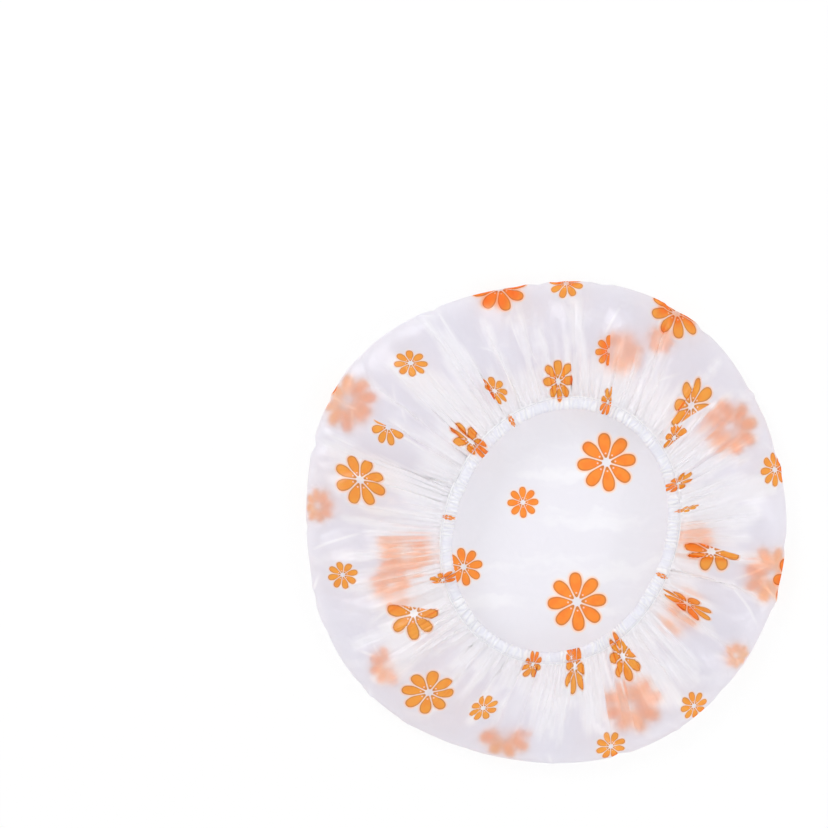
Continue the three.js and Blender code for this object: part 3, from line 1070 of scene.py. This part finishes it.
def filmMaterial(name, daisyPrint, filmCrumple):
    finish = finishes[name]
    material, tree, surface = newMaterial(name)
    spot = tree.nodes.new("ShaderNodeTexCoord").outputs["Object"]
    least, most = finish["roughness"]
    handled = addNode(tree, "ShaderNodeGroup", {
        "Spot": spot, "Fold": mapped(tree, "fold"), "Crease": finish["crease"],
        "Grain": finishes["filmGrain"], "Least Roughness": least, "Most Roughness": most,
    }, node_tree=filmCrumple).outputs
    # film is painted white along its sharp ridges and creases, as stress whitening and painted highlight, and
    # in streaks of painted sheen
    whiteAndHighlight = calc(tree, "MAXIMUM", attribute(tree, "ridgeWhiteAndHighlight"), handled["Smear"])
    printed = addNode(tree, "ShaderNodeGroup", {
        "Place": mapped(tree, "print"), "Tuck": attribute(tree, "tuck"), "Spot": spot,
        "Film": mixColours(tree, whiteAndHighlight, finish["colour"], finishes["ridgeWhiteAndHighlight"]), "Ink": finishes["ink"],
        "Deep Ink": finishes["inkDeep"], "Edge": finishes["inkEdge"], "Underprint": finishes["underprint"],
    }, node_tree=daisyPrint)
    feedAll(tree, surface, {
        "Base Color": printed, "Roughness": handled["Roughness"],
        "Normal": bump(tree, handled["Height"], *finishes["filmBump"]),
        "Transmission Weight": finish["through"], "IOR": finishes["filmIor"],
        "Coat Weight": finishes["coat"], "Coat Roughness": finishes["coatRoughness"],
    })

    # film looked along its face scatters more light than it lets through
    facing = addNode(tree, "ShaderNodeLayerWeight", {"Blend": 0.5}).outputs["Facing"]
    scatter = fade(tree, facing, *finishes["edgeScatter"], 0.0, finishes["edgeScatterMost"])
    milky = addNode(tree, "ShaderNodeBsdfDiffuse", {"Color": printed})
    lit = addNode(tree, "ShaderNodeBsdfTranslucent", {"Color": printed})
    face = mixShaders(tree, scatter, surface, mixShaders(tree, 0.5, milky, lit))
    # light leaves so thin a film without being mirrored back inside it
    inside = addNode(tree, "ShaderNodeNewGeometry").outputs["Backfacing"]
    thin = mixShaders(tree, inside, face, addNode(tree, "ShaderNodeBsdfTransparent"))
    feed(tree, tree.nodes["Material Output"].inputs["Surface"], thin)
    return material


def knitLoops(tree, finish):
    along, across, _ = split(tree, mapped(tree, "knit"))
    loops = calc(tree, "SINE", times(tree, along, fullTurn / finish["loop"]))
    return times(tree, loops, calc(tree, "SINE", times(tree, across, fullTurn / finish["row"])))


def plyTwist(tree, finish):
    around = times(tree, attribute(tree, "around"), finish["plies"] * fullTurn)
    return calc(tree, "SINE", calc(tree, "MULTIPLY_ADD", attribute(tree, "along"),
                                   fullTurn / (finish["twist"] * mm), around))


def yarnMaterial(name, pattern):
    # strands of yarn that stand out and differ a little in shine, with painted shade and light that follow
    # their relief
    finish = finishes[name]
    material, tree, surface = newMaterial(name)
    strand = calc(tree, "MULTIPLY_ADD", pattern(tree, finish), 0.5, 0.5)
    feedAll(tree, surface, {
        "Base Color": mixColours(tree, times(tree, strand, finish["share"]), *finish["colours"]),
        "Roughness": calc(tree, "MULTIPLY_ADD", strand, *finish["roughness"]),
        "Normal": bump(tree, strand, *finish["bump"]),
        "Sheen Weight": finish["sheen"],
    })
    return material


# studio

studio = {
    "worldLight": 0.8,
    "floorColour": 0.9, "floorRoughness": 0.8, "floorSize": 6,
    "floorGlow": (0.86, 0.5),   # share of plain white in the floor: seen straight, and in or through film
    "lamps": [((-0.9, 0.8, 1.1), 0.7, 9), ((1.0, -0.4, 0.9), 0.5, 4)],   # place, size, power
    "sensor": 36,
}
# the photograph's frame: the origin's pixel, and millimetres to a pixel at the cap's height
photo = {"pixels": 828, "originPixel": (545.5, 521.5), "scale": 0.574, "cameraHeight": 1500}


def seenShare(tree, straight, otherwise):
    # one share for what the camera sees straight, one for what it sees mirrored or through film
    path = tree.nodes.new("ShaderNodeLightPath").outputs
    other = calc(tree, "MAXIMUM", path["Is Transmission Ray"], path["Is Glossy Ray"])
    return calc(tree, "MULTIPLY_ADD", path["Is Camera Ray"], straight, times(tree, other, otherwise))


def makeFloor():
    half = studio["floorSize"] / 2 / mm
    corners = [(-half, -half, 0), (half, -half, 0), (half, half, 0), (-half, half, 0)]
    floor = meshPiece("floor", corners, [(0, 1, 2, 3)])
    material, tree, surface = newMaterial("paleFloor")
    grey = studio["floorColour"]
    feedAll(tree, surface, {"Base Color": (grey, grey, grey, 1), "Roughness": studio["floorRoughness"]})
    glow = addNode(tree, "ShaderNodeEmission", {"Color": (1, 1, 1, 1), "Strength": 1})
    both = mixShaders(tree, seenShare(tree, *studio["floorGlow"]), surface, glow)
    feed(tree, tree.nodes["Material Output"].inputs["Surface"], both)
    floor.data.materials.append(material)


def makeLight():
    world = bpy.data.worlds.new("studio")
    bpy.context.scene.world = world
    world.use_nodes = True
    tree = world.node_tree
    plain = studio["worldLight"]
    feedAll(tree, tree.nodes["Background"], {
        "Color": (1, 1, 1, 1), "Strength": calc(tree, "ADD", seenShare(tree, 1 - plain, 1 - plain), plain),
    })
    for place, size, power in studio["lamps"]:
        lamp = bpy.data.lights.new("softLamp", "AREA")
        lamp.size = size
        lamp.energy = power
        holder = addObject("softLamp", lamp)
        holder.location = place
        holder.rotation_euler = (-Vector(place)).to_track_quat("-Z", "Y").to_euler()


def makeCamera():
    left, top = photo["originPixel"]
    half = photo["pixels"] / 2
    place = ((half - left) * photo["scale"], (top - half) * photo["scale"], photo["cameraHeight"])
    data = bpy.data.cameras.new("camera")
    data.sensor_width = studio["sensor"]
    data.lens = studio["sensor"] * photo["cameraHeight"] / (photo["pixels"] * photo["scale"])
    camera = addObject("camera", data)
    camera.location = Vector(place) * mm
    bpy.context.scene.camera = camera


makeCamera()
makeLight()
makeFloor()
bpy.context.scene.view_settings.view_transform = "Standard"
reportStage("camera, light and floor")

filmGroups = daisyGroup(), crumpleGroup()
printedFilm = filmMaterial("printedFilm", *filmGroups)
gatheredFilm = filmMaterial("gatheredFilm", *filmGroups)
knitted = yarnMaterial("knittedElastic", knitLoops)
spun = yarnMaterial("spunThread", plyTwist)
reportStage("materials")

shape = gatherFilm()
centres = daisyCentres(shape)
reportStage("film gathered, top at %.1f mm" % shape["points"][:, :, 2].max())

capFilm = makeFilm(shape, centres, printedFilm)
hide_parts("cap_film")
reportStage("film, %d faces" % len(capFilm.data.polygons))

hemCasing = makeHem(shape, centres, gatheredFilm)
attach(hemCasing, "hem")
reportStage("hem, %d faces" % len(hemCasing.data.polygons))

elasticLoop = makeElastic(knitted)
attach(elasticLoop, "hem")
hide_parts("elastic_band")
reportStage("elastic, %d faces" % len(elasticLoop.data.polygons))

stitching = stitchTree()
for name, side, node in (("needleStitches", 1, "needle_thread"), ("bobbinStitches", -1, "bobbin_thread")):
    stitches = makeStitches(name, side, stitching, spun)
    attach(stitches, "hem")
    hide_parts(node)
    reportStage("%s, %d faces" % (name, len(stitches.data.polygons)))
barTack = makeTack(tackTree(), spun)
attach(barTack, "hem")
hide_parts("splice_tack")
reportStage("bar tack, %d faces" % len(barTack.data.polygons))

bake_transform(capFilm)
reportStage("pieces on their bodies")
